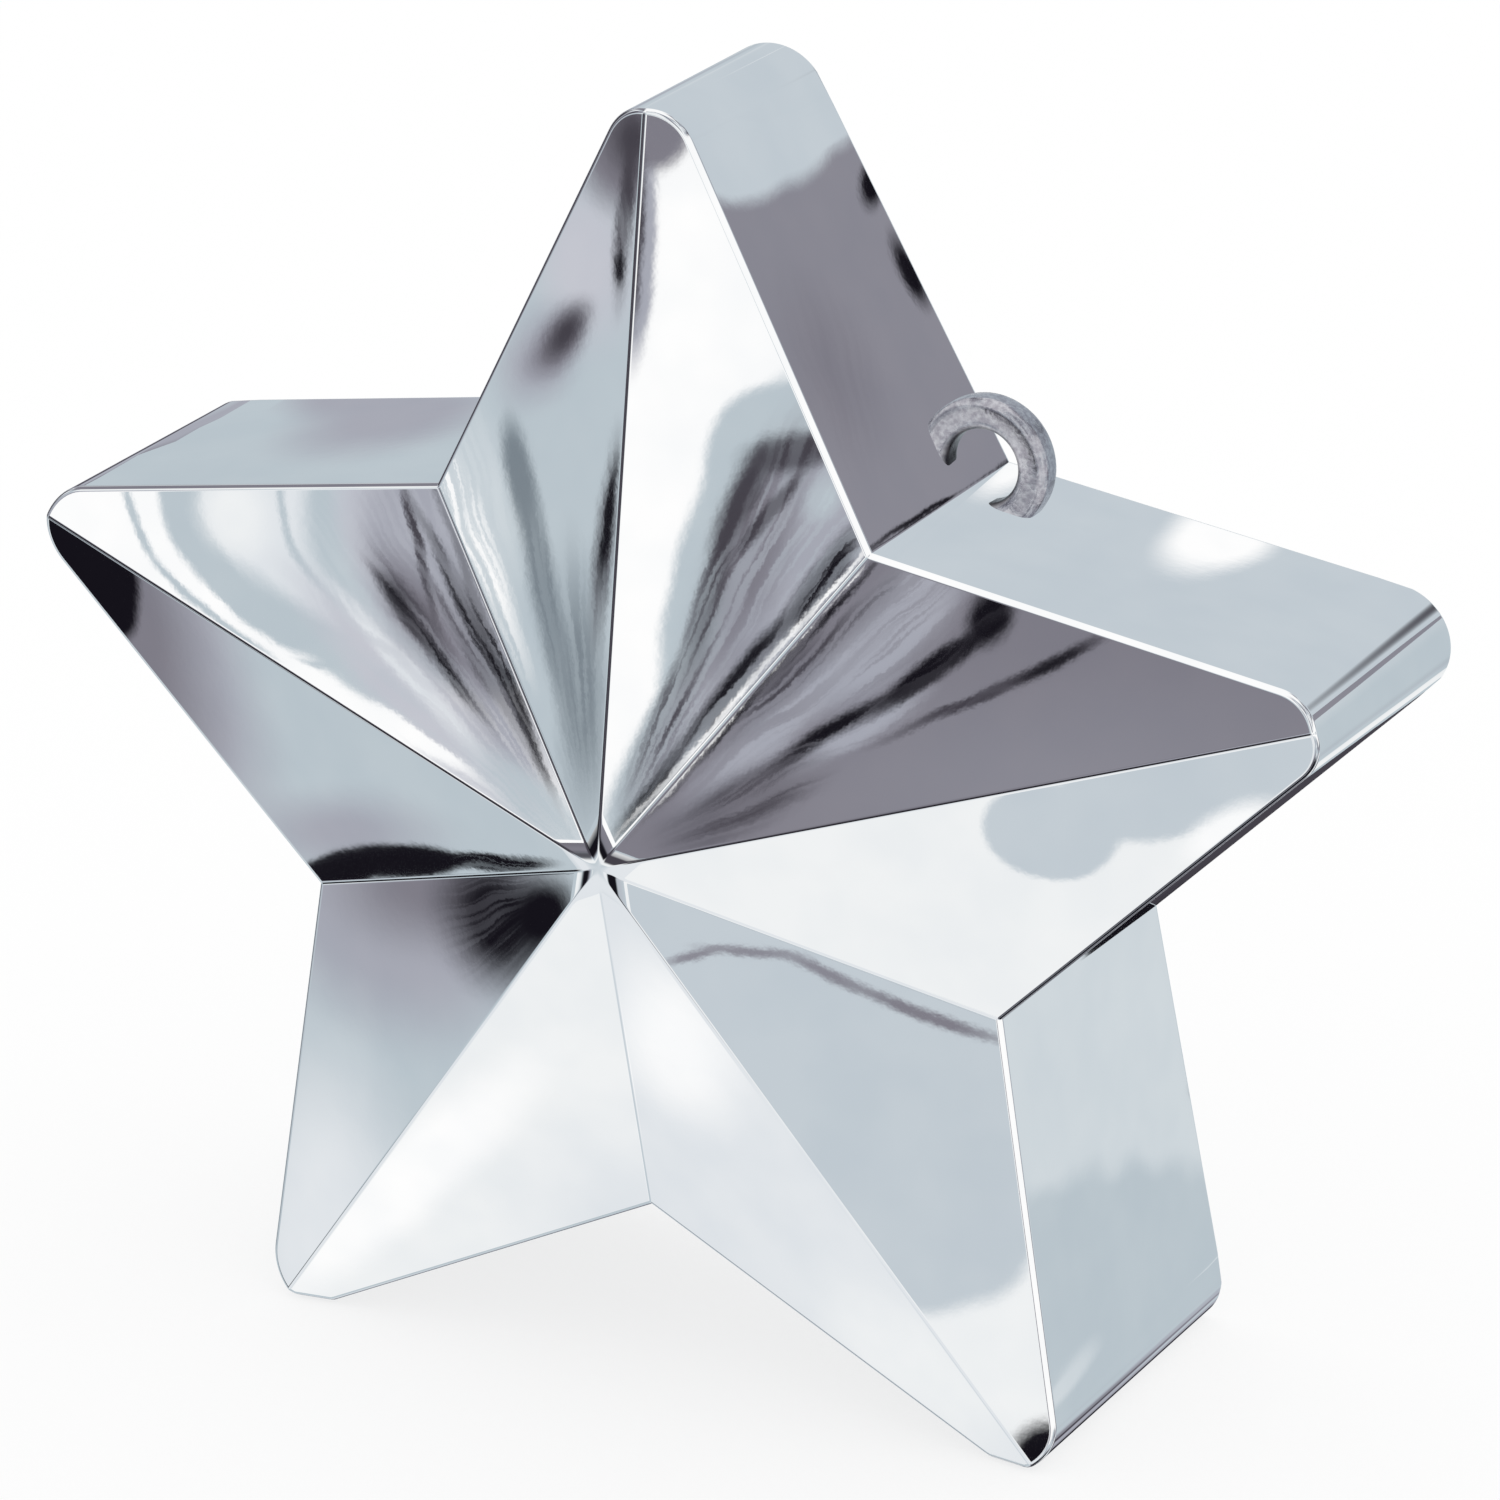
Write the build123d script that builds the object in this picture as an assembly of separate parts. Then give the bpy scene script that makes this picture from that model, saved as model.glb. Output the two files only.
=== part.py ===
from build123d import *
import os
from math import atan2, cos, hypot, pi, radians, sin, tan

# Star outline, on the flat plane of the front edge (millimetres and degrees)
arm_count = 5
point_radius = 56.0          # centre to the sharp point of an arm, before it is rounded
corner_radius = 28.5         # centre to the corner between two arms
point_round = 3.5            # rounding of a point, seen from the front
draft = 1.8                  # the side walls open towards the back, as the mould needs

# Faceted front
crown_height = 7.8           # sharp centre above the plane of the front edge
crown_flat = 0.25            # height taken off the sharp centre
front_edge_round = 0.5       # rounding where the facets meet the side walls

# Stance: the star stands on its two lowest points
foot_depth = 28.5            # front edge to rim, along the floor
rim_lean = 6.1               # the rim comes forward with height, so the base is deeper
foot_flat_cut = 0.35         # height cut off the front end of the two lowest points

# Moulded walls and the rebate that takes the cover
wall = 1.8
lip = 0.9                    # what is left of the wall outside the cover
cover_thickness = 1.8
cover_recess = 0.2           # back of the cover below the rim
cover_gap = 0.12             # round the edge of the cover
skirt_thickness = 1.2        # locating skirt on the inside of the cover
skirt_height = 2.5
skirt_gap = 0.15             # between the skirt and the wall

# Ribbon eye, an upright ring in the upper right corner, part way down the walls
eye_outer_radius = 4.9
eye_inner_radius = 2.65
eye_offset = 2.75            # corner to the middle of the hole
eye_front = 13.1             # front edge of the star to the front face of the eye
eye_depth = 2.5
eye_edge_round = 0.4         # on its front, the back is the parting line of the mould

# Push-in plug of the filling hole, in the middle of the cover
hole_radius = 6.0
flange_radius = 8.0
flange_thickness = 0.8
plug_gap = 0.08              # round the shank, round the flange and behind the bead
plug_reach = 2.0             # shank past the inside of the cover
plug_wall = 1.2
bead_height = 0.3            # snap bead, out from the shank beyond the hole

# Loose sand inside
sand_gap = 0.3
sand_level = 70.0            # top of the sand above the floor

half_pitch = pi / arm_count
half_point = atan2(corner_radius * sin(half_pitch), point_radius - corner_radius * cos(half_pitch))
half_corner = half_point + half_pitch
edge_distance = point_radius * sin(half_point)
widening = tan(radians(draft))
leaning = tan(radians(rim_lean))

front_y = (crown_height - crown_flat - foot_depth) / 2
point_centre = point_radius - point_round / sin(half_point)
centre_height = point_centre * cos(half_pitch) + point_round - foot_flat_cut
seat = cover_recess + cover_thickness
past = foot_depth            # length by which the working solids run past the rim
overrun = 1.5                # share by which the working facets run past the points

rim = Plane(
    origin=(0, front_y + foot_depth, 0),
    x_dir=(1, 0, 0),
    z_dir=(0, cos(radians(rim_lean)), sin(radians(rim_lean))),
)


def star_corners(offset):
    reach = point_radius + offset / sin(half_point)
    notch = corner_radius + offset / sin(half_corner)
    corners = []
    for step in range(arm_count):
        angle = pi / 2 + step * 2 * half_pitch
        corners.append((reach * cos(angle), reach * sin(angle)))
        corners.append((notch * cos(angle + half_pitch), notch * sin(angle + half_pitch)))
    return corners


def star_body(inset):
    # drafted star, each wall moved in by the inset, with a flat floor under its lowest points
    depth = foot_depth + past
    offset = depth * widening - inset
    least_round = point_round - inset - crown_height * widening
    rounding = point_round + offset if least_round > 0 else 0
    outline = FilletPolyline(*star_corners(offset), radius=[rounding, 0] * arm_count, close=True)
    base = Plane(origin=(0, front_y + depth, centre_height), x_dir=(1, 0, 0), z_dir=(0, -1, 0))
    star = extrude(base * make_face(outline), depth + crown_height, taper=draft)
    return split(star, bisect_by=Plane.XY.offset(inset), keep=Keep.TOP)


def behind_facets(inset):
    # everything behind the ten facets, moved in square to themselves by the inset
    slant = hypot(edge_distance, crown_height) / edge_distance
    apex_y = front_y - crown_height + inset * slant
    rise_y = apex_y + overrun * crown_height
    back_y = front_y + foot_depth + past
    ring = [(overrun * x, overrun * z + centre_height) for x, z in star_corners(0)]
    ring_edges = list(zip(ring, ring[1:] + ring[:1]))
    apex = (0, apex_y, centre_height)
    faces = []
    for (ax, az), (bx, bz) in ring_edges:
        faces.append(Face(Wire.make_polygon([apex, (ax, rise_y, az), (bx, rise_y, bz)])))
        side = [(ax, rise_y, az), (bx, rise_y, bz), (bx, back_y, bz), (ax, back_y, az)]
        faces.append(Face(Wire.make_polygon(side)))
    faces.append(Face(Wire.make_polygon([(x, back_y, z) for x, z in ring])))
    return Solid(Shell(faces))


def under_rim(shape, near, far):
    # the stretch of a shape between two depths below the rim
    shape = split(shape, bisect_by=rim.offset(-near), keep=Keep.BOTTOM)
    return split(shape, bisect_by=rim.offset(-far), keep=Keep.TOP)


def reaches_front_only(edge):
    # true for the edges between the facets and the side walls
    return all(abs(corner.Y - front_y) < crown_height / 2 for corner in edge.vertices())


def make_front_shell():
    crown_top = Plane(origin=(0, front_y - crown_height + crown_flat, 0), z_dir=(0, -1, 0))
    body = split(star_body(0) & behind_facets(0), bisect_by=crown_top, keep=Keep.BOTTOM)
    body = split(body, bisect_by=rim, keep=Keep.BOTTOM)
    near_front = ShapeList(e for e in body.edges() if reaches_front_only(e))
    body = fillet(near_front, front_edge_round)
    cavity = star_body(wall) & behind_facets(wall)
    rebate = split(star_body(lip), bisect_by=rim.offset(-seat), keep=Keep.TOP)
    return body - cavity - rebate


def make_back_cover():
    plate = under_rim(star_body(lip + cover_gap), cover_recess, seat)
    skirt = under_rim(star_body(wall + skirt_gap), seat, seat + skirt_height)
    skirt -= star_body(wall + skirt_gap + skirt_thickness)
    hole = Cylinder(hole_radius, 2 * (cover_thickness + past))
    counterbore = Cylinder(flange_radius + plug_gap, 2 * (flange_thickness + plug_gap))
    return plate + skirt - plug_seat() * hole - plug_seat() * counterbore


def plug_seat():
    # back face of the cover, over the centre of the star
    middle = front_y + foot_depth - centre_height * leaning
    return Plane(origin=(0, middle, centre_height), x_dir=(1, 0, 0), z_dir=rim.z_dir).offset(-cover_recess)


def make_filler_plug():
    shank = hole_radius - plug_gap
    bead_start = cover_thickness + plug_gap
    tip = cover_thickness + plug_reach
    half_section = [
        (0, 0),
        (flange_radius, 0),
        (flange_radius, -flange_thickness),
        (shank, -flange_thickness),
        (shank, -bead_start),
        (shank + bead_height, -bead_start - bead_height),
        (shank - bead_height, -tip),
        (shank - plug_wall, -tip),
        (shank - plug_wall, -plug_wall),
        (0, -plug_wall),
    ]
    profile = make_face(Plane.XZ * Polyline(*half_section, close=True))
    return plug_seat() * revolve(profile, Axis.Z)


def make_ribbon_eye():
    # only the part outside the walls is left, and the hole runs down to the corner
    upper_right = pi / 2 - half_pitch
    corner_reach = corner_radius + (eye_front + eye_depth) * widening / sin(half_corner)
    reach = corner_reach + eye_offset
    middle = (reach * cos(upper_right), front_y + eye_front, centre_height + reach * sin(upper_right))
    plane = Plane(origin=middle, x_dir=(sin(upper_right), 0, -cos(upper_right)), z_dir=(0, 1, 0))
    way_down = Rectangle(2 * eye_inner_radius, eye_outer_radius, align=(Align.CENTER, Align.MIN))
    ring = extrude(plane * (Circle(eye_outer_radius) - Circle(eye_inner_radius) - way_down), eye_depth)
    front_edges = ring.edges().filter_by(GeomType.CIRCLE).group_by(Axis.Y)[0]
    ring = fillet(front_edges, eye_edge_round)
    return ring - star_body(0)


def make_sand_ballast():
    space = star_body(wall + sand_gap) & behind_facets(wall + sand_gap)
    inner_end = seat + max(skirt_height, plug_reach) + sand_gap
    space = split(space, bisect_by=rim.offset(-inner_end), keep=Keep.BOTTOM)
    return split(space, bisect_by=Plane.XY.offset(sand_level), keep=Keep.BOTTOM)


nodes = {
    "front_shell": make_front_shell(),
    "back_cover": make_back_cover(),
    "ribbon_eye": make_ribbon_eye(),
    "filler_plug": make_filler_plug(),
    "sand_ballast": make_sand_ballast(),
}

os.makedirs("parts", exist_ok=True)
for name, shape in nodes.items():
    export_step(shape, f"parts/{name}.step")
    size = shape.bounding_box().size
    print(f"{name}: {shape.volume / 1000:.2f} cm3, {size.X:.1f} x {size.Y:.1f} x {size.Z:.1f} mm")
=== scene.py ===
from math import atan, atan2, cos, hypot, pi, radians, sin, tan

import bmesh
import bpy
from mathutils import Matrix, Vector


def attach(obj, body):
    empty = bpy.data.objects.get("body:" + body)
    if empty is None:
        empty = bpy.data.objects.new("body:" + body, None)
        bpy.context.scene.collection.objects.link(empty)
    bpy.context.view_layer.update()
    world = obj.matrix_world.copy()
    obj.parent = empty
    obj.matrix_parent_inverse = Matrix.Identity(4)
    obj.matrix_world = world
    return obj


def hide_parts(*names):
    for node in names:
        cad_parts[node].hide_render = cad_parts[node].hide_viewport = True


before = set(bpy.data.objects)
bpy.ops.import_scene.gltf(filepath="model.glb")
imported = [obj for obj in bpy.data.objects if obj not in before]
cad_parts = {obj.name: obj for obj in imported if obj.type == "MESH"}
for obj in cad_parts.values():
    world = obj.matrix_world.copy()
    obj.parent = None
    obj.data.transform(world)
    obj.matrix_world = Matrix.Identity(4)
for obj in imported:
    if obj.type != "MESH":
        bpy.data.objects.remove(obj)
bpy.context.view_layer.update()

mm = 0.001
tiny = 0.0001           # keeps a division finite

# the star as it is moulded, in millimetres and degrees
star = {
    "arms": 5,
    "pointRadius": 56.0,     # centre to the sharp point of an arm
    "cornerRadius": 28.5,    # centre to the corner between two arms
    "pointRound": 3.5,
    "draft": 1.8,
    "crown": 7.8,            # centre in front of the plane of the front edge
    "crownFlat": 0.25,
    "footDepth": 28.5,
    "rimLean": 6.1,
    "footFlat": 0.35,
}

halfPitch = pi / star["arms"]
halfPoint = atan2(star["cornerRadius"] * sin(halfPitch),
                  star["pointRadius"] - star["cornerRadius"] * cos(halfPitch))
halfCorner = halfPoint + halfPitch
edgeDistance = star["pointRadius"] * sin(halfPoint)
facetTilt = atan(star["crown"] / edgeDistance)
tipCentre = star["pointRadius"] - star["pointRound"] / sin(halfPoint)
frontY = (star["crown"] - star["crownFlat"] - star["footDepth"]) / 2
centreHeight = tipCentre * cos(halfPitch) + star["pointRound"] - star["footFlat"]
draft = radians(star["draft"])
leanSlope = tan(radians(star["rimLean"]))


def linear(hexColour):
    # sRGB hex to the linear colour that a socket takes
    channels = [int(hexColour[i:i + 2], 16) / 255 for i in (1, 3, 5)]
    return [c / 12.92 if c <= 0.04045 else ((c + 0.055) / 1.055) ** 2.4 for c in channels] + [1.0]


def addNode(tree, kind, inputs=(), **settings):
    # one node: its settings, then each input, by place or by name, as a value or as a link
    node = tree.nodes.new(kind)
    for name, value in settings.items():
        setattr(node, name, value)
    for key, value in inputs.items() if isinstance(inputs, dict) else enumerate(inputs):
        if isinstance(value, bpy.types.Node):
            value = next(s for s in value.outputs if s.enabled)
        if isinstance(value, bpy.types.NodeSocket):
            tree.links.new(value, node.inputs[key])
        else:
            node.inputs[key].default_value = value
    return node


def newTree(name, inputs, outputs):
    # Geometry Nodes tree with its named inputs and outputs
    tree = bpy.data.node_groups.new(name, "GeometryNodeTree")
    for direction, sockets in (("INPUT", inputs), ("OUTPUT", outputs)):
        for socket, kind in sockets.items():
            tree.interface.new_socket(socket, in_out=direction, socket_type="NodeSocket" + kind)
    return tree


# camera at the photograph's angle, in degrees and millimetres
view = {
    "azimuth": 27.03,
    "elevation": 20.40,
    "roll": 0.244,
    "distance": 384.6,
    "lens": 134.47,
    "target": (7.78, -10.475, 49.73),
    "nearest": 10.0,
}


def makeCamera():
    azimuth, elevation, roll = (radians(view[k]) for k in ("azimuth", "elevation", "roll"))
    back = Vector((sin(azimuth) * cos(elevation), -cos(azimuth) * cos(elevation), sin(elevation)))
    right = (-back).cross(Vector((0, 0, 1))).normalized()
    up = right.cross(-back)
    turnedRight = cos(roll) * right + sin(roll) * up
    turnedUp = cos(roll) * up - sin(roll) * right
    place = Vector(view["target"]) + back * view["distance"]
    camera = bpy.data.objects.new("camera", bpy.data.cameras.new("camera"))
    camera.data.lens = view["lens"]
    camera.data.clip_start = view["nearest"] * mm
    columns = Matrix((turnedRight, turnedUp, back)).transposed()
    camera.matrix_world = Matrix.Translation(place * mm) @ columns.to_4x4()
    bpy.context.scene.collection.objects.link(camera)
    bpy.context.scene.camera = camera
    return place


cameraPlace = makeCamera()
print("camera placed")


# Geometry Nodes: radius of the rounded star outline at an angle from the nearest arm
def makeOutlineTree():
    sizes = ("Angle", "Inset", "Half point", "Edge", "Tip centre", "Tip round")
    tree = newTree("starOutline", dict.fromkeys(sizes, "Float"), {"Radius": "Float"})
    made = {socket.name: socket for socket in addNode(tree, "NodeGroupInput").outputs}
    # each line is one Math node: its name, what it does, and what it works on
    for name, operation, *terms in (
        # straight side of the arm
        ("edge", "SUBTRACT", "Edge", "Inset"),
        ("slant", "ADD", "Angle", "Half point"),
        ("slantSine", "SINE", "slant"),
        ("straight", "DIVIDE", "edge", "slantSine"),
        # round of the tip
        ("tipLeft", "SUBTRACT", "Tip round", "Inset"),
        ("tip", "MAXIMUM", "tipLeft", 0.0),
        ("angleSine", "SINE", "Angle"),
        ("aside", "MULTIPLY", "Tip centre", "angleSine"),
        ("tipSquared", "MULTIPLY", "tip", "tip"),
        ("asideSquared", "MULTIPLY", "aside", "aside"),
        ("chordSquared", "SUBTRACT", "tipSquared", "asideSquared"),
        ("chordHeld", "MAXIMUM", "chordSquared", 0.0),
        ("chord", "SQRT", "chordHeld"),
        ("angleCosine", "COSINE", "Angle"),
        ("rounded", "MULTIPLY_ADD", "Tip centre", "angleCosine", "chord"),
        # angle at which the round meets the straight side
        ("halfCosine", "COSINE", "Half point"),
        ("across", "MULTIPLY", "tip", "halfCosine"),
        ("halfSine", "SINE", "Half point"),
        ("along", "MULTIPLY_ADD", "tip", "halfSine", "Tip centre"),
        ("meeting", "ARCTAN2", "across", "along"),
        ("onTip", "LESS_THAN", "Angle", "meeting"),
    ):
        values = [made.get(term, term) for term in terms]
        made[name] = addNode(tree, "ShaderNodeMath", values, operation=operation)
    radius = addNode(tree, "ShaderNodeMix", data_type="FLOAT",
                     inputs={"Factor": made["onTip"], "A": made["straight"], "B": made["rounded"]})
    addNode(tree, "NodeGroupOutput", {"Radius": radius})
    return tree


# what each ring of a loft carries
ringShares = ("turn", "share", "reach")             # angle, share of the outline, share of the depth
ringLengths = ("inset", "drop", "below", "disc")    # millimetres; a disc is round and no star

# how finely the lofts are divided, in millimetres and degrees
grid = {
    "eased": (0.0, 0.05, 0.09, 0.13),    # columns beside a ridge or valley, from its middle
    "held": 0.2,                         # next column, which keeps the facet flat beyond
    "easedShare": 0.12,                  # most of the half pitch that they take near the centre
    "tipSteps": 14,
    "sideSteps": 20,
    "bevelMid": 0.29,                    # middle of a rounded bevel, as a share of its width
    "merge": 0.001,                      # closes the seam and the poles
    "sharp": 32,                         # steeper corners stay sharp
}


# Geometry Nodes: puts a flat grid of rings round the star, each ring where its attributes say
def makeLoftTree(outline):
    sizes = ("Half pitch", "Half point", "Edge", "Tip centre", "Tip round", "Crown", "Crown flat",
             "Crown round", "Front", "Centre", "Depth", "Lean", "Draft", "Ridge round", "Valley round")
    tree = newTree("starLoft", outputs={"Geometry": "Geometry"},
                   inputs={"Geometry": "Geometry", **dict.fromkeys(sizes, "Float"),
                           "Material": "Material"})
    made = {socket.name: socket for socket in addNode(tree, "NodeGroupInput").outputs}
    shared = {name: made[name] for name in ("Half point", "Edge", "Tip centre", "Tip round")}
    for name in ringShares + ringLengths:
        made[name] = addNode(tree, "GeometryNodeInputNamedAttribute", {"Name": name}, data_type="FLOAT")
    # each line is one node: its name, what it does, and what it works on
    for name, operation, *terms in (
        # angle from the nearest arm
        ("fromTop", "SUBTRACT", "turn", pi / 2),
        ("backPitch", "MULTIPLY", "Half pitch", -1.0),
        ("fromArm", "WRAP", "fromTop", "Half pitch", "backPitch"),
        ("angle", "ABSOLUTE", "fromArm"),
        ("sine", "SINE", "turn"),
        ("cosine", "COSINE", "turn"),
        # the place without draft, then the draft that its depth gives
        ("plain", "OUTLINE", "inset"),
        ("plainRadius", "MULTIPLY", "plain", "share"),
        ("plainHeight", "MULTIPLY_ADD", "plainRadius", "sine", "Centre"),
        ("plainLean", "MULTIPLY", "plainHeight", "Lean"),
        ("plainRim", "SUBTRACT", "Depth", "plainLean"),
        ("plainDepth", "SUBTRACT", "plainRim", "below"),
        ("plainReach", "MULTIPLY", "plainDepth", "reach"),
        ("widened", "MULTIPLY", "plainReach", "Draft"),
        ("draftedInset", "SUBTRACT", "inset", "widened"),
        ("drafted", "OUTLINE", "draftedInset"),
        ("starRadius", "MULTIPLY", "drafted", "share"),
        ("isDisc", "GREATER_THAN", "disc", 0.0),
        ("freeRadius", "CHOOSE", "isDisc", "starRadius", "disc"),
        # the feet end at the floor
        ("downwards", "MULTIPLY", "sine", -1.0),
        ("downHeld", "MAXIMUM", "downwards", tiny),
        ("above", "SUBTRACT", "Centre", "inset"),
        ("toFloor", "DIVIDE", "above", "downHeld"),
        ("radius", "MINIMUM", "freeRadius", "toFloor"),
        ("x", "MULTIPLY", "radius", "cosine"),
        ("z", "MULTIPLY_ADD", "radius", "sine", "Centre"),
        # facets fall with the distance square to the edge of the arm
        ("slant", "ADD", "angle", "Half point"),
        ("slantSine", "SINE", "slant"),
        ("square", "MULTIPLY", "radius", "slantSine"),
        # ridges and valleys are eased
        ("angleSine", "SINE", "angle"),
        ("fromRidge", "MULTIPLY", "radius", "angleSine"),
        ("ridgeLeft", "SUBTRACT", "Ridge round", "fromRidge"),
        ("ridgeNear", "MAXIMUM", "ridgeLeft", 0.0),
        ("ridgeSquared", "MULTIPLY", "ridgeNear", "ridgeNear"),
        ("ridgeShare", "DIVIDE", "ridgeSquared", "Ridge round"),
        ("ridgeEased", "MULTIPLY_ADD", "ridgeShare", cos(halfPoint) / 2, "square"),
        ("otherAngle", "SUBTRACT", "Half pitch", "angle"),
        ("otherSine", "SINE", "otherAngle"),
        ("fromValley", "MULTIPLY", "radius", "otherSine"),
        ("valleyLeft", "SUBTRACT", "Valley round", "fromValley"),
        ("valleyNear", "MAXIMUM", "valleyLeft", 0.0),
        ("valleySquared", "MULTIPLY", "valleyNear", "valleyNear"),
        ("valleyShare", "DIVIDE", "valleySquared", "Valley round"),
        ("eased", "MULTIPLY_ADD", "valleyShare", -cos(halfCorner) / 2, "ridgeEased"),
        ("slope", "DIVIDE", "Crown", "Edge"),
        ("fall", "MULTIPLY", "eased", "slope"),
        ("roof", "SUBTRACT", "fall", "Crown"),
        ("crownTop", "SUBTRACT", "Crown flat", "Crown"),
        ("capped", "SMOOTH_MAX", "roof", "crownTop", "Crown round"),
        ("front", "ADD", "capped", "drop"),
        # depth down to the leaning rim
        ("lean", "MULTIPLY", "z", "Lean"),
        ("rim", "SUBTRACT", "Depth", "lean"),
        ("back", "SUBTRACT", "rim", "below"),
        ("depth", "CHOOSE", "reach", "front", "back"),
        ("y", "ADD", "depth", "Front"),
    ):
        values = [made.get(term, term) for term in terms]
        if operation == "OUTLINE":
            made[name] = addNode(tree, "GeometryNodeGroup", node_tree=outline,
                                 inputs={"Angle": made["angle"], "Inset": values[0], **shared})
        elif operation == "CHOOSE":
            chosen = dict(zip(("Factor", "A", "B"), values))
            made[name] = addNode(tree, "ShaderNodeMix", chosen, data_type="FLOAT")
        else:
            made[name] = addNode(tree, "ShaderNodeMath", values, operation=operation)
    place = addNode(tree, "ShaderNodeCombineXYZ", [made["x"], made["y"], made["z"]])
    placed = addNode(tree, "GeometryNodeSetPosition", {"Geometry": made["Geometry"], "Position": place})
    merged = addNode(tree, "GeometryNodeMergeByDistance",
                     {"Geometry": placed, "Distance": grid["merge"] * mm})
    real = addNode(tree, "GeometryNodeRealizeInstances", {"Geometry": merged})
    coated = addNode(tree, "GeometryNodeSetMaterial", {"Geometry": real, "Material": made["Material"]})
    addNode(tree, "NodeGroupOutput", {"Geometry": coated})
    return tree


def columnTurns(ring):
    # angles of one ring's points: fixed widths beside ridges and valleys, even steps between
    tipReach = ring.get("disc", ring.get("share", 1) * (tipCentre + star["pointRound"]))
    cornerReach = ring.get("disc", ring.get("share", 1) * star["cornerRadius"])
    most = grid["easedShare"] * halfPitch / grid["held"]
    tipRate = min(1 / tipReach, most) if tipReach else most
    cornerRate = min(1 / cornerReach, most) if cornerReach else most
    first, last = tipRate * grid["held"], halfPitch - cornerRate * grid["held"]
    swing = pi / 2 - halfPoint
    tip = star["pointRound"]
    steps = []
    for step in range(1, grid["tipSteps"] + 1):
        swung = swing * step / grid["tipSteps"]
        steps.append(atan2(tip * sin(swung), tipCentre + tip * cos(swung)) / halfPitch)
    start = steps[-1]
    for step in range(1, grid["sideSteps"]):
        steps.append(start + (1 - start) * step / grid["sideSteps"])
    half = [width * tipRate for width in grid["eased"]] + [first]
    half += [first + (last - first) * step for step in steps]
    half += [last] + [halfPitch - width * cornerRate for width in reversed(grid["eased"])]
    arm = [-a for a in reversed(half)] + half[1:]
    turns = [pi / 2 + 2 * halfPitch * k + a for k in range(star["arms"]) for a in arm[:-1]]
    return turns + [turns[0] + 2 * pi]


def ringGrid(name, rings):
    # flat grid whose points carry the values that the loft reads
    turns = [columnTurns(ring) for ring in rings]
    around = len(turns[0])
    mesh = bpy.data.meshes.new(name)
    points = [(i, j, 0) for i in range(len(rings)) for j in range(around)]
    faces = [(i * around + j, i * around + j + 1, (i + 1) * around + j + 1, (i + 1) * around + j)
             for i in range(len(rings) - 1) for j in range(around - 1)]
    mesh.from_pydata(points, [], faces)
    for value in ringShares + ringLengths:
        layer = mesh.attributes.new(value, "FLOAT", "POINT")
        if value == "turn":
            numbers = [turn for ring in turns for turn in ring]
        else:
            scale = mm if value in ringLengths else 1
            # a ring that says nothing takes the whole outline, and 0 of the rest
            given = [ring.get(value, value == "share") * scale for ring in rings]
            numbers = [number for number in given for _ in range(around)]
        layer.data.foreach_set("value", numbers)
    return mesh


def makePiece(name, start, tree, sizes, node):
    # the tree's result as a plain mesh, smooth but for its corners
    piece = bpy.data.objects.new(name, start)
    bpy.context.scene.collection.objects.link(piece)
    modifier = piece.modifiers.new("shape", "NODES")
    modifier.node_group = tree
    for item in tree.interface.items_tree:
        # a modifier's inputs go by the identifier of the socket
        if item.in_out == "INPUT" and item.name in sizes:
            modifier[item.identifier] = sizes[item.name]
    graph = bpy.context.evaluated_depsgraph_get()
    mesh = bpy.data.meshes.new_from_object(piece.evaluated_get(graph))
    piece.modifiers.clear()
    piece.data = mesh
    bpy.data.meshes.remove(start)
    mesh.name = name
    for value in ringShares + ringLengths:
        if value in mesh.attributes:
            mesh.attributes.remove(mesh.attributes[value])
    mesh.shade_smooth()
    mesh.set_sharp_from_angle(angle=radians(grid["sharp"]))
    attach(piece, "root")
    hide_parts(node)
    print(name, len(mesh.polygons), "faces")
    return piece


# front shell: faceted star with drafted walls, open at the back
shell = {
    "ridgeRound": 0.13,      # half width of the rounded ridges
    "valleyRound": 0.13,
    "crownRound": 0.15,      # how softly the facets run into the flat middle
    "edgeRound": 0.42,       # between the facets and the side walls
    "rimRound": 0.15,
    "wall": 1.8,
    "lip": 0.9,              # wall left outside the back cover
    "seat": 2.0,             # rim to the ledge that the cover sits on
    "hold": 0.08,            # rings this close to a rounding keep the flats flat
    "facetRings": 18,
    "roundSteps": 7,
    "wallRings": 3,
}


def shellRings():
    # from the middle of the front, over the edge, down the wall, round the rim and back inside
    edgeRound, wall, lip, seat = (shell[k] for k in ("edgeRound", "wall", "lip", "seat"))
    bevel = shell["rimRound"]
    mid = bevel * grid["bevelMid"]
    tangent = edgeRound * tan((pi / 2 - facetTilt) / 2)
    edgeInset = edgeRound * (1 - sin(facetTilt))
    inner = wall * hypot(edgeDistance, star["crown"]) / edgeDistance
    rings = []
    for step in range(shell["facetRings"] + 1):
        rings.append({"share": (step / shell["facetRings"]) ** 2, "inset": edgeInset + shell["hold"]})
    for step in range(shell["roundSteps"] + 1):
        turn = facetTilt + (pi / 2 - facetTilt) * step / shell["roundSteps"]
        inset = edgeRound * (1 - sin(turn))
        drop = tangent - edgeRound * cos(turn) + inset * tan(facetTilt)
        rings.append({"inset": inset, "drop": drop})
    start = shell["hold"] / star["footDepth"]
    for step in range(shell["wallRings"] + 1):
        reach = start + (1 - 2 * start) * step / shell["wallRings"]
        rings.append({"drop": tangent, "reach": reach, "below": bevel})
    rings.append({"reach": 1, "below": bevel})
    for inset, below in ((mid, mid), (bevel, 0), (lip - bevel, 0), (lip, bevel), (lip, seat)):
        rings.append({"inset": inset, "reach": 1, "below": below})
    for reach in (1, 0):
        rings.append({"inset": wall, "drop": inner, "reach": reach, "below": seat})
    for share in (0.5, 0):
        rings.append({"inset": wall, "drop": inner, "share": share})
    return rings


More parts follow.
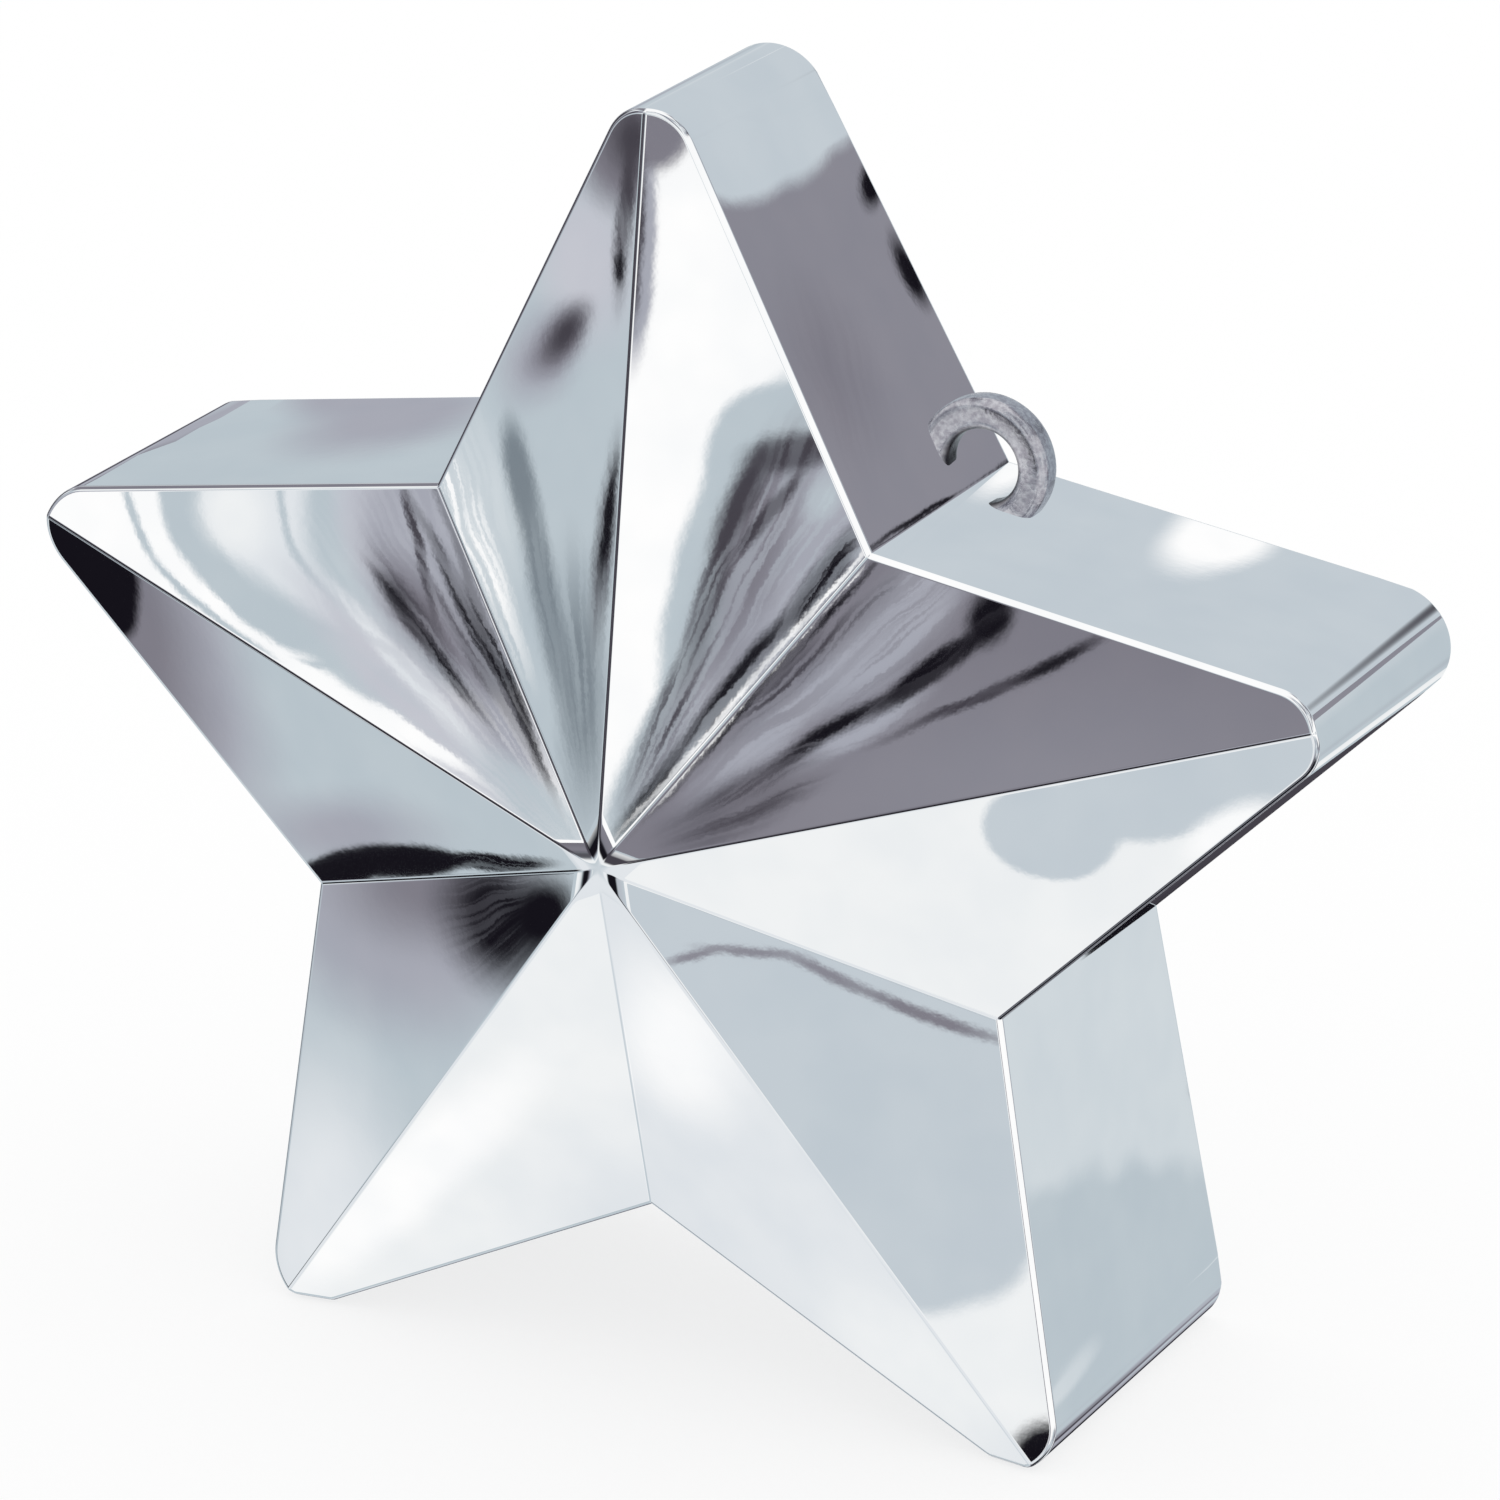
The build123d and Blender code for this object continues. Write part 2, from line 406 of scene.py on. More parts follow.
# back cover: flat star plate in the rebate, with a skirt inside and a stepped filling hole
cover = {
    "recess": 0.2,           # back of the cover below the rim
    "gap": 0.12,
    "edgeRound": 0.2,
    "skirtGap": 0.15,
    "skirt": 1.2,
    "skirtHeight": 2.5,
    "hole": 6.0,
    "counterbore": 8.08,
    "counterboreDepth": 0.88,
    "hold": 0.08,            # rings this close to a rounding keep the back flat
}


def coverRings():
    # from the hole outwards on the inside, over the edge and back in on the outside
    recess, bevel, hold = cover["recess"], cover["edgeRound"], cover["hold"]
    mid = bevel * grid["bevelMid"]
    seat = shell["seat"]
    skirtEnd = seat + cover["skirtHeight"]
    edge = shell["lip"] + cover["gap"]
    skirtOut = shell["wall"] + cover["skirtGap"]
    skirtIn = skirtOut + cover["skirt"]
    ledge = recess + cover["counterboreDepth"]
    starRings = ((skirtIn, seat), (skirtIn, skirtEnd), (skirtOut, skirtEnd), (skirtOut, seat),
                 (edge, seat), (edge, recess + bevel), (edge + mid, recess + mid),
                 (edge + bevel, recess), (edge + bevel + hold, recess))
    rings = [{"disc": cover["hole"], "reach": 1, "below": seat}]
    rings += [{"inset": inset, "reach": 1, "below": below} for inset, below in starRings]
    bore = cover["counterbore"]
    for disc, below in ((bore + bevel + hold, recess), (bore + bevel, recess), (bore, recess + bevel),
                        (bore, ledge), (cover["hole"], ledge), (cover["hole"], seat)):
        rings.append({"disc": disc, "reach": 1, "below": below})
    return rings


# filler plug: thin flange in the counterbore, hollow shank with a snap bead
plug = {
    "flange": 8.0,
    "flangeThickness": 0.8,
    "edgeRound": 0.25,
    "shank": 5.92,
    "bead": 0.3,
    "beadStart": 1.88,
    "length": 3.8,
    "wall": 1.2,
    "dish": 0.35,            # the middle lies a little lower than the flange
    "dishRound": 0.3,
    "dishCurve": ((0.5, 0.35), (1.0, 0.8), (1.6, 1.0)),    # shares of the round and of the dish
}


def plugRings():
    # from the middle of the hollow, round the shank and the flange, to the middle of the back
    shank, bead, bevel, flange = (plug[k] for k in ("shank", "bead", "edgeRound", "flange"))
    bore, floor, length = shank - plug["wall"], plug["wall"], plug["length"]
    under, hold = plug["flangeThickness"], cover["hold"]
    mid = bevel * grid["bevelMid"]
    curve = [(shank - plug["dishRound"] * a, plug["dish"] * b) for a, b in plug["dishCurve"]]
    profile = ((0, floor), (bore, floor), (bore, length), (shank - bead, length),
               (shank + bead, plug["beadStart"] + bead), (shank, plug["beadStart"]),
               (shank, under), (flange, under), (flange, bevel), (flange - mid, mid),
               (flange - bevel, 0), (flange - bevel - hold, 0), (shank + hold, 0), (shank, 0),
               *curve, (curve[-1][0] - hold, plug["dish"]), (0, plug["dish"]))
    rings = []
    for disc, below in profile:
        ring = {"reach": 1, "below": cover["recess"] + below}
        ring.update({"disc": disc} if disc else {"share": 0})
        rings.append(ring)
    return rings


def makeLofted(name, rings, loft, material, node):
    sizes = {
        "Half pitch": halfPitch,
        "Half point": halfPoint,
        "Edge": edgeDistance * mm,
        "Tip centre": tipCentre * mm,
        "Tip round": star["pointRound"] * mm,
        "Crown": star["crown"] * mm,
        "Crown flat": star["crownFlat"] * mm,
        "Crown round": shell["crownRound"] * mm,
        "Front": frontY * mm,
        "Centre": centreHeight * mm,
        "Depth": star["footDepth"] * mm,
        "Lean": leanSlope,
        "Draft": tan(draft),
        "Ridge round": shell["ridgeRound"] * mm,
        "Valley round": shell["valleyRound"] * mm,
        "Material": material,
    }
    return makePiece(name, ringGrid(name, rings), loft, sizes, node)


# ribbon eye: an upright ring between two arms, its ends run into their walls
ribbonEye = {
    "corner": 54.0,          # degrees, from the centre to the corner that holds it
    "offset": 2.75,          # corner to the middle of the hole
    "front": 13.1,           # front edge of the star to the front face of the eye
    "depth": 2.5,
    "outer": 4.9,
    "inner": 2.65,
    "edgeRound": 0.7,
    "edgeSteps": 5,
    "seated": 0.2,           # how far the ends go into the walls
    "endGap": 16.0,          # degrees left open inside each wall
    "steps": 96,
}


def starPoint(angle, radius, y):
    return Vector((radius * cos(angle), y, centreHeight + radius * sin(angle)))


def wallPlane(angle):
    # point and outward direction of the side wall that faces this way
    outward = Vector((cos(angle) * cos(draft), -sin(draft), sin(angle) * cos(draft)))
    return starPoint(angle, edgeDistance, frontY), outward


def makeEyeTree():
    sizes = ("Radius", "Width", "Depth", "Edge round", "Start", "Sweep")
    tree = newTree("ribbonEye", outputs={"Geometry": "Geometry"},
                   inputs={"Geometry": "Geometry", **dict.fromkeys(sizes, "Float"), "Steps": "Int",
                           "Edge steps": "Int", "Middle": "Vector", "Material": "Material"})
    given = addNode(tree, "NodeGroupInput").outputs
    arc = addNode(tree, "GeometryNodeCurveArc", mode="RADIUS",
                  inputs={"Resolution": given["Steps"], "Radius": given["Radius"],
                          "Start Angle": given["Start"], "Sweep Angle": given["Sweep"]})
    section = addNode(tree, "GeometryNodeCurvePrimitiveQuadrilateral",
                      {"Width": given["Width"], "Height": given["Depth"]})
    rounded = addNode(tree, "GeometryNodeFilletCurve", mode="POLY",
                      inputs={"Curve": section, "Count": given["Edge steps"],
                              "Radius": given["Edge round"]})
    swept = addNode(tree, "GeometryNodeCurveToMesh",
                    {"Curve": arc, "Profile Curve": rounded, "Fill Caps": True})
    upright = addNode(tree, "GeometryNodeTransform",
                      {"Geometry": swept, "Rotation": (pi / 2, 0, 0), "Translation": given["Middle"]})
    real = addNode(tree, "GeometryNodeRealizeInstances", {"Geometry": upright})
    coated = addNode(tree, "GeometryNodeSetMaterial", {"Geometry": real, "Material": given["Material"]})
    addNode(tree, "NodeGroupOutput", {"Geometry": coated})
    return tree


def eyeMiddle():
    corner = radians(ribbonEye["corner"])
    back = ribbonEye["front"] + ribbonEye["depth"]
    reach = star["cornerRadius"] + back * tan(draft) / sin(halfCorner) + ribbonEye["offset"]
    return starPoint(corner, reach, frontY + back - ribbonEye["depth"] / 2)


def makeEye(material):
    corner = radians(ribbonEye["corner"])
    swing = pi / 2 - halfCorner
    first = corner + swing - pi + radians(ribbonEye["endGap"])
    sizes = {
        "Radius": (ribbonEye["outer"] + ribbonEye["inner"]) / 2 * mm,
        "Width": (ribbonEye["outer"] - ribbonEye["inner"]) * mm,
        "Depth": ribbonEye["depth"] * mm,
        "Edge round": ribbonEye["edgeRound"] * mm,
        "Start": first,
        "Sweep": 2 * (corner - first),
        "Steps": ribbonEye["steps"],
        "Edge steps": ribbonEye["edgeSteps"],
        "Middle": eyeMiddle() * mm,
        "Material": material,
    }
    start = bpy.data.meshes.new("ribbon_ring")
    piece = makePiece("ribbon_ring", start, makeEyeTree(), sizes, "ribbon_eye")
    # the ends are cut just inside the walls
    cut = bmesh.new()
    cut.from_mesh(piece.data)
    for side in (-1, 1):
        place, outward = wallPlane(corner + side * swing)
        place -= outward * ribbonEye["seated"]
        everything = cut.verts[:] + cut.edges[:] + cut.faces[:]
        found = bmesh.ops.bisect_plane(cut, geom=everything, plane_co=place * mm,
                                       plane_no=outward, clear_inner=True)
        rim = [e for e in found["geom_cut"] if isinstance(e, bmesh.types.BMEdge)]
        bmesh.ops.edgenet_fill(cut, edges=rim)
    bmesh.ops.recalc_face_normals(cut, faces=cut.faces[:])
    cut.to_mesh(piece.data)
    cut.free()
    return piece


def startMaterial(name):
    # new material with its tree, its shader and the coordinates of its patterns
    material = bpy.data.materials.new(name)
    material.use_nodes = True
    tree = material.node_tree
    place = addNode(tree, "ShaderNodeTexCoord").outputs["Object"]
    return material, tree, tree.nodes["Principled BSDF"], place


# two finishes of the coat: colours, roughness, and sizes and depths of its unevenness in millimetres
mirrorFinish = {
    "dull": "#F9FAFB", "bright": "#FEFEFE", "mottleSize": 6.0,
    "smooth": 0.005, "rough": 0.014, "hazeSize": 14.0,
    "wave": 0.0006, "waveSize": 9.0,
    "grain": 0.00012, "grainSize": 0.7,
}
mottledFinish = {
    "dull": "#A8A6AF", "bright": "#C9C9CF", "mottleSize": 0.35,
    "smooth": 0.18, "rough": 0.32, "hazeSize": 3.0,
    "wave": 0.02, "waveSize": 4.0,
    "grain": 0.02, "grainSize": 0.35,
    # painted shade inside the eye: its colour, how far out from the hole it stays full, and where it has
    # faded, in millimetres
    "paintedShade": "#2B292E", "paintedShadeStart": 0.05, "paintedShadeDepth": 0.45,
}
# parts of the noise over which colour and roughness change
mottleSpan = {"From Min": 0.35, "From Max": 0.65}
hazeSpan = {"From Min": 0.35, "From Max": 0.7}


# vacuum-metallised ABS: bright mirror coat over a moulding with a slightly uneven skin
def metallisedAbs(name, finish):
    material, tree, bsdf, place = startMaterial(name)
    bsdf.inputs["Metallic"].default_value = 1.0
    noise = {}
    for use, detail in (("mottle", 2.0), ("haze", 4.0), ("wave", 1.0), ("grain", 2.0)):
        scale = 1 / (finish[use + "Size"] * mm)
        noise[use] = addNode(tree, "ShaderNodeTexNoise",
                             {"Vector": place, "Scale": scale, "Detail": detail})
    mottle = addNode(tree, "ShaderNodeMapRange", {"Value": noise["mottle"], **mottleSpan})
    dull, bright = linear(finish["dull"]), linear(finish["bright"])
    colour = addNode(tree, "ShaderNodeMix", {"Factor": mottle, "A": dull, "B": bright}, data_type="RGBA")
    haze = addNode(tree, "ShaderNodeMapRange",
                   {"Value": noise["haze"], **hazeSpan,
                    "To Min": finish["smooth"], "To Max": finish["rough"]})
    wavy = addNode(tree, "ShaderNodeBump", {"Height": noise["wave"], "Distance": finish["wave"] * mm})
    skin = addNode(tree, "ShaderNodeBump",
                   {"Height": noise["grain"], "Distance": finish["grain"] * mm, "Normal": wavy})
    if "paintedShade" in finish:
        # painted shade: the inside of the eye is darkened towards its hole
        middle = eyeMiddle() * mm
        fromMiddle = addNode(tree, "ShaderNodeVectorMath", [place, middle], operation="SUBTRACT")
        square = addNode(tree, "ShaderNodeVectorMath", [fromMiddle, (1, 0, 1)], operation="MULTIPLY")
        radius = addNode(tree, "ShaderNodeVectorMath", [square], operation="LENGTH")
        # mask of the painted shade: the shade colour at the hole, fading to the coat's own colour
        # further out
        coated = addNode(tree, "ShaderNodeMapRange",
                         {"Value": radius, "From Min": (ribbonEye["inner"] + finish["paintedShadeStart"]) * mm,
                          "From Max": (ribbonEye["inner"] + finish["paintedShadeDepth"]) * mm})
        colour = addNode(tree, "ShaderNodeMix", data_type="RGBA",
                         inputs={"Factor": coated, "A": linear(finish["paintedShade"]), "B": colour})
    tree.links.new(colour.outputs["Result"], bsdf.inputs["Base Color"])
    tree.links.new(haze.outputs[0], bsdf.inputs["Roughness"])
    tree.links.new(skin.outputs[0], bsdf.inputs["Normal"])
    return material


plugFinish = {
    "dull": "#97999C", "bright": "#A9ABAE", "blotchSize": 4.0,
    "roughness": 0.42,
    "grain": 0.01, "grainSize": 0.5,
}


# low-density polyethylene: waxy grey, faintly blotched
def mouldedPolyethylene(finish):
    material, tree, bsdf, place = startMaterial("mouldedPolyethylene")
    bsdf.inputs["Roughness"].default_value = finish["roughness"]
    blotch = addNode(tree, "ShaderNodeTexNoise",
                     {"Vector": place, "Scale": 1 / (finish["blotchSize"] * mm), "Detail": 3.0})
    dull, bright = linear(finish["dull"]), linear(finish["bright"])
    colour = addNode(tree, "ShaderNodeMix", {"Factor": blotch, "A": dull, "B": bright}, data_type="RGBA")
    grain = addNode(tree, "ShaderNodeTexNoise",
                    {"Vector": place, "Scale": 1 / (finish["grainSize"] * mm), "Detail": 2.0})
    skin = addNode(tree, "ShaderNodeBump", {"Height": grain, "Distance": finish["grain"] * mm})
    tree.links.new(colour.outputs["Result"], bsdf.inputs["Base Color"])
    tree.links.new(skin.outputs[0], bsdf.inputs["Normal"])
    return material


sandFinish = {
    "dark": "#A48A63", "light": "#DCC9A3",
    "roughness": 0.85,
    "grain": 0.2, "grainSize": 0.5,
}


# dry sand: grains about half a millimetre across, each of its own shade
def drySand(finish):
    material, tree, bsdf, place = startMaterial("drySand")
    bsdf.inputs["Roughness"].default_value = finish["roughness"]
    grains = addNode(tree, "ShaderNodeTexVoronoi",
                     {"Vector": place, "Scale": 1 / (finish["grainSize"] * mm)}).outputs
    shade = addNode(tree, "ShaderNodeSeparateColor", [grains["Color"]])
    dark, light = linear(finish["dark"]), linear(finish["light"])
    colour = addNode(tree, "ShaderNodeMix", {"Factor": shade, "A": dark, "B": light}, data_type="RGBA")
    rough = addNode(tree, "ShaderNodeBump", invert=True,
                    inputs={"Height": grains["Distance"], "Distance": finish["grain"] * mm})
    tree.links.new(colour.outputs["Result"], bsdf.inputs["Base Color"])
    tree.links.new(rough.outputs[0], bsdf.inputs["Normal"])
    return material


chrome = metallisedAbs("vacuumMetallisedAbs", mirrorFinish)
dullChrome = metallisedAbs("mottledMetallisedAbs", mottledFinish)

loft = makeLoftTree(makeOutlineTree())
makeLofted("star_shell", shellRings(), loft, chrome, "front_shell")
makeLofted("star_cover", coverRings(), loft, chrome, "back_cover")
makeLofted("filling_plug", plugRings(), loft, mouldedPolyethylene(plugFinish),
           "filler_plug")
# the walls beside the eye don't mirror it
makeEye(dullChrome).visible_glossy = False

# the sand keeps its CAD solid
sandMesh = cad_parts["sand_ballast"].data
sandMesh.materials.clear()
sandMesh.materials.append(drySand(sandFinish))
print("pieces made")


# studio: what the mirror facets reflect, cards of a few tones
tones = {
    "white": "#FFFFFF",
    "offWhite": "#F1F3F4",
    "light": "#E3E7EB",
    "paleLight": "#D0D8DD",
    "paleBlue": "#C4CDD4",
    "pale": "#BCC7CE",
    "paleLilac": "#C5C7D0",
    "lilac": "#A8AAB5",
    "slate": "#7C868E",
    "dimLilac": "#8B8A94",
    "mauve": "#807E88",
    "dark": "#45424A",
    "black": "#15131A",
}

# room behind the cards: soft blots, each tone below its share of the noise
roomBlots = (("pale", 0.55), ("lilac", 0.47), ("mauve", 0.41), ("dark", 0.35))

# patches of the room that rounded edges mirror:
# tone, azimuth, elevation, radius and softness, in degrees; later ones lie over earlier ones
room = [
    ("paleBlue", 168, 22, 24, 8),
    ("paleBlue", -164, 24, 20, 8),
    ("pale", 158, -10, 20, 8),
    ("pale", -106, -21, 30, 8),
    ("pale", -42, -51, 20, 5),
    ("light", -22, -37, 15, 5),
    ("light", -46, -36, 11, 4),
    ("light", 2, -34, 14, 4),
    ("white", -17, 32, 13, 3),
    ("white", -20, 55, 15, 4),
    ("white", 0, 90, 26, 6),
    ("white", -160, 52, 16, 4),
    ("white", 20, 6, 9, 3),
    ("white", 40, 15, 11, 3),
    ("white", 60, 21, 11, 3),
    ("white", 80, 24, 11, 3),
    ("white", 100, 24, 11, 3),
    ("white", 118, 21, 11, 3),
    ("white", 28, -17, 9, 3),
    ("white", 45, -15, 9, 3),
    ("white", 63, -13, 9, 3),
    ("white", 80, -12, 9, 3),
    ("white", 98, -12, 9, 3),
    ("white", 113, -13, 9, 3),
    ("dark", -100, 2, 24, 6),
    ("mauve", -66, 42, 11, 4),
    ("mauve", -92, 47, 13, 4),
    ("mauve", -118, 42, 11, 4),
    ("dark", -49, -5, 6, 2),
    ("dark", -38, -4, 8, 3),
    ("dark", -22, -4, 9, 3),
    ("dark", -10, -6, 7, 3),
    ("black", -47, -15, 8, 3),
    ("black", -64, -28, 6, 2),
    ("black", 70, -68, 20, 5),
    ("dark", -178, -62, 14, 5),
    ("dark", 160, 18, 5, 2),
    ("black", -165, -35, 5, 2),
    ("black", -9, -18, 8, 2),
]

# cards that a front facet mirrors, in millimetres from the middle of the star:
# tone, across, up, half width, half height, turn in degrees, softness, share lost between streaks
facetCards = {
    ("top", -1): ("white", [
        ("lilac", 0.3, 42.5, 1.0, 7.5, 0, 0.3, 0),
        ("mauve", 0.9, 50.2, 2.3, 2.6, 0, 0.25, 0),
        ("dark", 0.1, 43, 0.4, 5, 0, 0.6, 0),
        ("pale", 10.4, 28.6, 5.0, 5.6, 0, 0.1, 0),
        ("pale", 9.9, 20.5, 6.3, 15, -11, 0.08, 0),
        ("pale", 4.4, 10, 2.2, 10, -22, 0.2, 0),
        ("lilac", 12.4, 22.5, 5.4, 8.6, -14, 0.12, 0.3),
        ("lilac", 7.2, 12.5, 2.8, 9.5, -28, 0.3, 0.4),
        ("mauve", 8.6, 22, 2.2, 8.5, -17, 0.6, 0.6),
        ("dark", 11.2, 29.6, 3.0, 1.3, 16, 0.5, 0.2),
        ("dark", 8.0, 26.2, 1.1, 3.8, -24, 0.5, 0.2),
        ("dark", 6.4, 20.5, 0.8, 6.0, -13, 0.6, 0.5),
        ("dark", 9.8, 25.2, 0.5, 3.6, -34, 0.5, 0.3),
        ("dark", 4.4, 12.5, 1.0, 7.0, -20, 0.6, 0.7),
        ("pale", 13.4, 26.6, 1.0, 1.4, -20, 0.7, 0.4),
        ("black", 13.6, 21.0, 0.9, 4.4, -32, 0.5, 0.4),
        ("black", 8.6, 13.8, 0.8, 6.5, -36, 0.5, 0.5),
        ("black", 3.2, 5.4, 0.7, 4.0, -30, 0.6, 0.4),
        ("white", 9.4, 13.6, 0.2, 13, -36, 0.4, 0.4),
    ]),
    ("right", 1): ("mauve", [
        ("dimLilac", 30, 10, 16, 5, 14, 0.95, 0),
        ("lilac", 18.8, 18.4, 2.4, 7.0, -40, 0.4, 0.5),
        ("lilac", 12, 11.8, 1.6, 8.0, -42, 0.5, 0.6),
        ("lilac", 17.5, 11.4, 0.9, 5, -55, 0.5, 0.5),
        ("dark", 13.4, 15.4, 0.8, 7.5, -41, 0.6, 0.8),
        ("black", 25.7, 20.2, 1.5, 1.9, -30, 0.4, 0.1),
        ("black", 22.4, 16.5, 0.85, 5.0, -47, 0.4, 0.1),
        ("black", 15.6, 11.2, 0.6, 5.4, -54, 0.6, 0.3),
        ("dark", 27.6, 16.1, 0.4, 8.0, -58, 0.5, 0.1),
        ("black", 30.6, 17.9, 0.35, 2.4, -58, 0.6, 0),
        ("dark", 10, 5.8, 1.6, 5.5, -60, 0.6, 0.7),
        ("black", 10.4, 13.5, 0.3, 12, -37, 0.5, 0.5),
        ("white", 9.6, 13.0, 0.15, 12.5, -36, 0.4, 0.4),
    ]),
    ("top", 1): ("pale", [
        ("paleLilac", -4.2, 41, 4.2, 5.0, 0, 0.6, 0),
        ("mauve", -1.4, 49.2, 4.4, 4.2, 0, 0.4, 0),
        ("dark", -0.6, 49.6, 2.4, 2.2, 0, 0.9, 0),
        ("dark", -1.1, 45, 0.7, 5.5, 0, 0.6, 0.3),
        ("black", -1.1, 41, 0.4, 1.2, 0, 0.6, 0),
        ("lilac", -8.0, 33.8, 3.6, 2.4, 45, 0.7, 0),
        ("mauve", -6.3, 35.2, 3.2, 1.5, 44, 0.6, 0),
        ("dark", -5.8, 35.8, 2.2, 0.9, 44, 0.8, 0),
        ("paleLight", -13, 23, 3.5, 6, 20, 0.6, 0.3),
        ("slate", -9.2, 25.4, 1.3, 3.4, 18, 0.5, 0),
        ("slate", -6.6, 18.6, 1.25, 8.5, 19, 0.6, 0.2),
        ("slate", -2.4, 12, 2.0, 7.5, 8, 0.7, 0.4),
        ("dark", -1.0, 22.5, 0.8, 6.0, -2, 0.6, 0.3),
        ("black", -0.9, 24, 0.4, 4.0, -3, 0.5, 0),
        ("white", -13, 19.5, 1.7, 8.0, 35, 0.5, 0.9),
    ]),
    ("left", -1): ("white", [
        ("pale", -24.6, 21.5, 18.6, 12.2, 0, 0.015, 0),
        ("white", -24.3, 21.7, 18.3, 12.0, 0, 0.015, 0),
        ("pale", -24.6, 20.6, 15.2, 10.4, 0, 0.03, 0),
        ("light", -22.6, 21.6, 13.9, 9.8, 0, 0.04, 0),
        ("offWhite", -33, 18.5, 2.8, 2.5, -20, 0.6, 0),
        ("pale", -17.5, 22.5, 12.6, 10.2, 0, 0.03, 0),
        ("light", -17.2, 22.7, 12.3, 10.0, 0, 0.03, 0),
        ("pale", -13.5, 22, 14, 12.5, 0, 0.08, 0.1),
        ("pale", -22, 10.0, 12, 1.5, -23, 0.4, 0),
        ("paleLilac", -15, 8.0, 13, 2.3, -30, 0.4, 0.2),
        ("light", -17, 10.2, 9, 0.7, -33, 0.5, 0.6),
        ("paleLilac", -12.5, 22.5, 12.3, 10.3, 0, 0.1, 0.1),
        ("lilac", -12.5, 20.5, 10.0, 9.5, 0, 0.2, 0.2),
        ("lilac", -9, 8.5, 2.2, 7.0, 42, 0.6, 0.3),
        ("mauve", -15.8, 13.6, 1.9, 6.0, 50, 0.6, 0.4),
        ("dark", -17.2, 14.2, 0.9, 4.0, 50, 0.7, 0.6),
        ("black", -15.4, 12.2, 0.5, 6.0, 52, 0.6, 0.4),
        ("black", -18.8, 15.2, 0.7, 1.9, 55, 0.7, 0.3),
        ("black", -14.2, 16.2, 0.4, 7.0, 39, 0.5, 0.5),
        ("dark", -17.6, 18.6, 0.35, 4.6, 26, 0.5, 0.4),
        ("black", -11.8, 15.2, 0.45, 9.4, 35, 0.5, 0.5),
        ("dark", -11.4, 11.6, 0.45, 6.5, 45, 0.6, 0.5),
        ("black", -8.9, 10.4, 0.4, 8.5, 38, 0.5, 0.3),
        ("white", -35, 12.7, 4.5, 0.45, -25, 0.4, 0),
        ("white", -21.5, 7.8, 11.5, 0.4, -18, 0.4, 0),
        ("white", -16, 6.4, 5.5, 0.35, -19, 0.4, 0),
        ("pale", -5, 3.2, 6, 1.5, -24, 0.5, 0.3),
    ]),
    ("left", 1): ("pale", [
        ("lilac", -39, 7, 7.5, 16, 10, 0.5, 0),
        ("mauve", -42, 9, 5.6, 12, 10, 0.7, 0),
        ("black", -48, 13, 7.2, 8, 0, 0.08, 0),
        ("lilac", -24, -3.6, 8, 2.4, 16, 0.8, 0),
        ("black", -25, -7.1, 5.0, 1.5, 25, 0.15, 0),
        ("black", -18.6, -4.5, 6.5, 1.35, 16, 0.2, 0),
        ("black", -10, -2.2, 6, 0.7, 14, 0.3, 0.2),
    ]),
    ("leftFoot", -1): ("pale", [
        ("light", -26, -38, 9, 14, 0, 0.6, 0),
        ("lilac", -20, -7, 14, 10, 12, 0.4, 0),
        ("mauve", -16, -6, 8, 3.6, 15, 0.8, 0),
        ("black", -9.2, -6.3, 5.2, 4.4, 25, 0.6, 0.14),
        ("black", -5, -4.8, 3.5, 2.2, 40, 0.5, 0),
    ]),
    ("leftFoot", 1): ("offWhite", [
        ("light", -1, -33, 8.5, 8.5, 0, 0.9, 0),
        ("white", -19.2, -29.9, 2.6, 16, -44, 0.5, 0),
    ]),
    ("rightFoot", -1): ("light", [
        ("white", 4.5, -13, 4.6, 5.5, 0, 0.8, 0),
        ("offWhite", 22, -36, 8, 5, -30, 0.7, 0),
        ("black", 30.6, -43.6, 5, 1.4, 8, 0.3, 0),
    ]),
    ("rightFoot", 1): ("offWhite", [
        ("paleBlue", 19, -10, 12.5, 21.5, 17, 0.04, 0),
        ("paleBlue", 8, -6, 10, 5.5, -38, 0.05, 0),
        ("dimLilac", 6.7, -5.6, 1.9, 0.35, 18, 0.7, 0),
        ("dimLilac", 10.4, -5.1, 2.9, 0.35, -3, 0.7, 0),
        ("dimLilac", 15.2, -6.2, 3.0, 0.38, -20, 0.7, 0),
        ("mauve", 22.3, -8.7, 5.8, 0.42, -17, 0.7, 0),
        ("black", 31.4, -41.4, 2.7, 3.0, 0, 0.3, 0),
    ]),
    ("right", -1): ("offWhite", [
        ("paleBlue", 31.5, 6.8, 4.8, 3.7, 15, 0.08, 0),
        ("paleBlue", 42, 12.6, 11.5, 4.2, 27, 0.08, 0),
        ("white", 43.5, 8.2, 3.5, 1.4, 38, 0.5, 0),
    ]),
}

# cards that a side wall mirrors, in millimetres along it and back from the front edge
wallCards = {
    ("top", -1): ("dimLilac", [
        ("paleBlue", 53, 8, 15.7, 22, 0, 0.05, 0),
        ("mauve", 25, 4, 5, 4, 0, 0.9, 0.3),
        ("black", 13.4, 11, 0.2, 13, 0, 0.6, 0),
        ("black", 28.4, 17.8, 2.6, 1.2, -8, 0.5, 0),
        ("black", 35, 17.4, 1.9, 1.2, 50, 0.5, 0),
    ]),
    ("left", -1): ("pale", [
        ("lilac", 25, 15, 7, 8, 0, 0.6, 0),
        ("lilac", 32, 21, 7, 5, 40, 0.5, 0),
    ]),
    ("right", 1): ("paleBlue", [
        ("white", -30.5, 19.5, 3.4, 7.5, 0, 0.35, 0),
        ("white", -14.8, 18.5, 1.3, 4.5, 0, 0.7, 0),
    ]),
    ("right", -1): ("dark", [
        ("black", 20, 10, 10, 14, 0, 0.6, 0.3),
    ]),
    ("rightFoot", 1): ("paleLight", [
        ("pale", -57.4, 3.1, 30.5, 46, 15, 0.045, 0),
        ("paleLight", -43, 4.5, 3, 4.5, 0, 0.5, 0),
        ("black", -28.2, 37, 2.6, 11, 0, 0.1, 0),
    ]),
}

